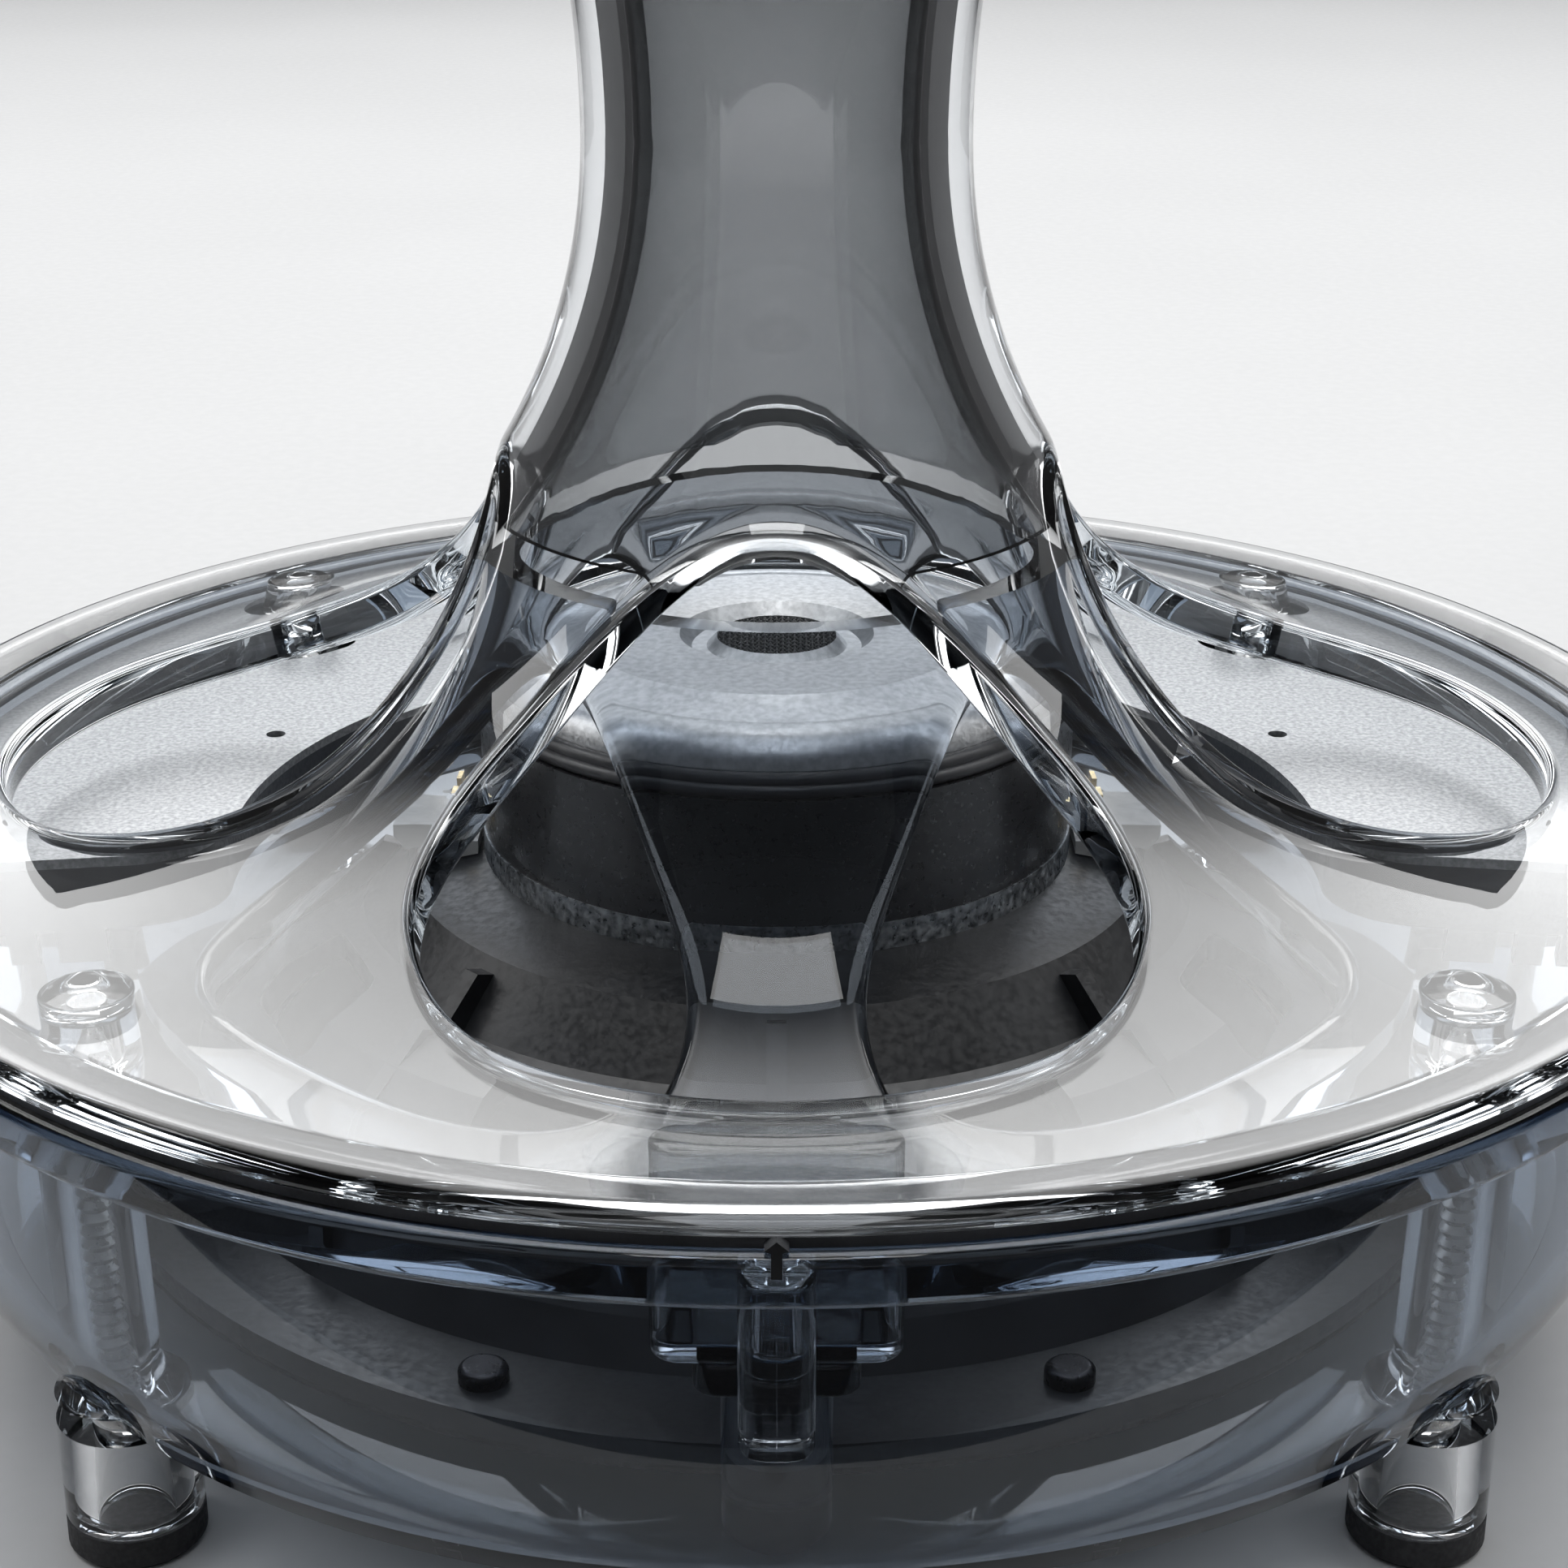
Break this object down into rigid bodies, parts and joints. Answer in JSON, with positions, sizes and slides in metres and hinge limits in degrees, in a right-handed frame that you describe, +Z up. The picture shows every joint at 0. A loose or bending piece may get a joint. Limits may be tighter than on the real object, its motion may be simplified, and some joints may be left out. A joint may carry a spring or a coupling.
{
  "type": "down-firing bass loudspeaker",
  "caption": "Clear-bodied round bass loudspeaker: a flared port rises over the magnet from an arched skirt, and the cone fires down between the feet.",
  "frame": {"origin": "centre of the underside of the feet, on the surface that the part stands on", "axes": "+Z up along the driver and port axis; -Y is the front, where one arched opening faces; the electronics modules are at the rear left and rear right"},
  "size_m": [0.23, 0.23, 0.208],
  "materials": {
    "clear_body": "polished clear moulding",
    "clear_bell": "polished clear moulding",
    "clear_cage": "polished clear moulding with a faint smoke tint",
    "clear_base": "polished, smoke-tinted clear moulding",
    "smoked_film": "smoke-tinted clear film",
    "rim_seal": "smooth black seal",
    "foot_rubber": "matt rubber",
    "case_screw": "dark plated thread",
    "ferrite": "ground ferrite",
    "sleeve": "smooth semi-gloss black",
    "bead": "semi-gloss dark bead",
    "back_steel": "fine bead-blasted, plated",
    "vent_screen": "black woven screen",
    "top_steel": "fine bead-blasted, dark plated",
    "basket": "moulded satin black",
    "gasket_foam": "closed-cell foam",
    "driver_screw": "black zinc",
    "terminal_board": "translucent grey laminate",
    "terminal_tag": "tinned brass",
    "former": "thin foil",
    "coil": "enamelled copper winding",
    "cone_paper": "pressed paper, satin black",
    "cap_paper": "pressed paper, satin black",
    "surround_rubber": "matt butyl rubber",
    "spider_cloth": "resin-dipped weave",
    "cover_metal": "fine bead-blasted",
    "housing": "moulded dark grey",
    "board": "solder resist on laminate",
    "board_component": "moulded black bodies",
    "plate_screw": "black zinc"
  },
  "bodies": {
    "root": {"trumpet_shell": "clear_body", "port_bell": "clear_bell", "inner_cage": "clear_cage", "port_liner": "smoked_film", "rim_gasket": "rim_seal", "rim_key": "rim_seal", "base_bowl": "clear_base", "foot_pads": "foot_rubber", "case_screws": "case_screw", "magnet_ring": "ferrite", "magnet_sleeve": "sleeve", "magnet_bead": "bead", "back_plate": "back_steel", "vent_mesh": "vent_screen", "top_plate": "top_steel", "basket": "basket", "driver_gasket": "gasket_foam", "driver_screws": "driver_screw", "terminal_strips": "terminal_board", "terminal_tags": "terminal_tag", "surround": "surround_rubber", "spider": "spider_cloth", "left_cover_plate": "cover_metal", "left_housing": "housing", "left_circuit_board": "board", "left_board_parts": "board_component", "left_plate_screws": "plate_screw", "right_cover_plate": "cover_metal", "right_housing": "housing", "right_circuit_board": "board", "right_board_parts": "board_component", "right_plate_screws": "plate_screw"},
    "cone_assembly": {"coil_former": "former", "voice_coil": "coil", "cone": "cone_paper", "dust_cap": "cap_paper"}
  },
  "joints": [
    {"name": "cone_travel", "type": "slide", "parent": "root", "child": "cone_assembly", "axis": [0, 0, 1], "range_m": [-0.004, 0.004], "stiffness_N_per_m": 2000, "deforming": ["surround", "spider"]}
  ]
}
